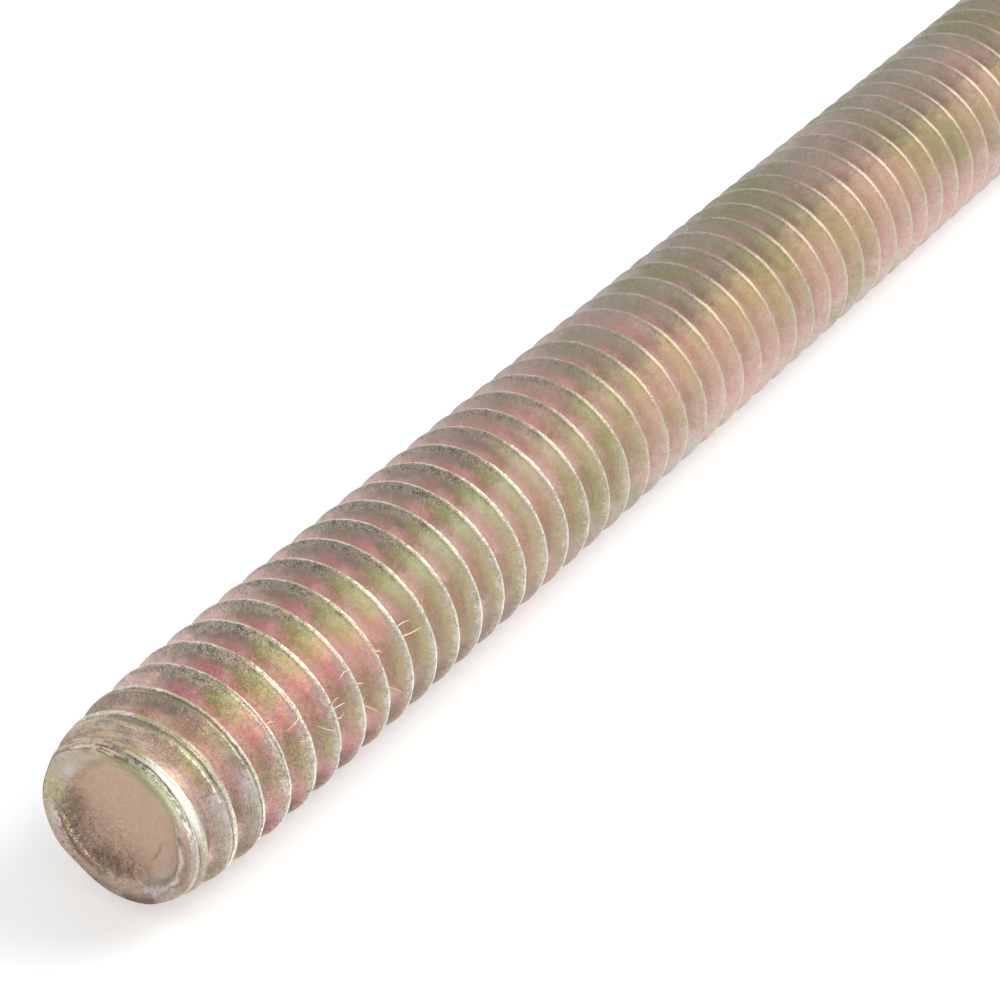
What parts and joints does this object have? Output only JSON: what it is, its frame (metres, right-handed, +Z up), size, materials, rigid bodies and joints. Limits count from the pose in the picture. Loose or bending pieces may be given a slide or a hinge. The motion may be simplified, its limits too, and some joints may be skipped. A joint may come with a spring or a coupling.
{
  "type": "threaded rod",
  "caption": "Short steel threaded rod with a right-hand coarse thread from end to end, yellow zinc plated, with one cropped and dished end.",
  "frame": {"origin": "middle of the rod's axis, halfway between its two end faces", "axes": "+X along the rod, from the cropped and dished near end to the plain far end; +Z up; a crest meets the near face straight up from the axis"},
  "size_m": [0.0762, 0.0062, 0.0062],
  "materials": {
    "plated_steel": "yellow zinc plate, worn"
  },
  "bodies": {
    "root": {"threaded_rod": "plated_steel"}
  },
  "joints": []
}
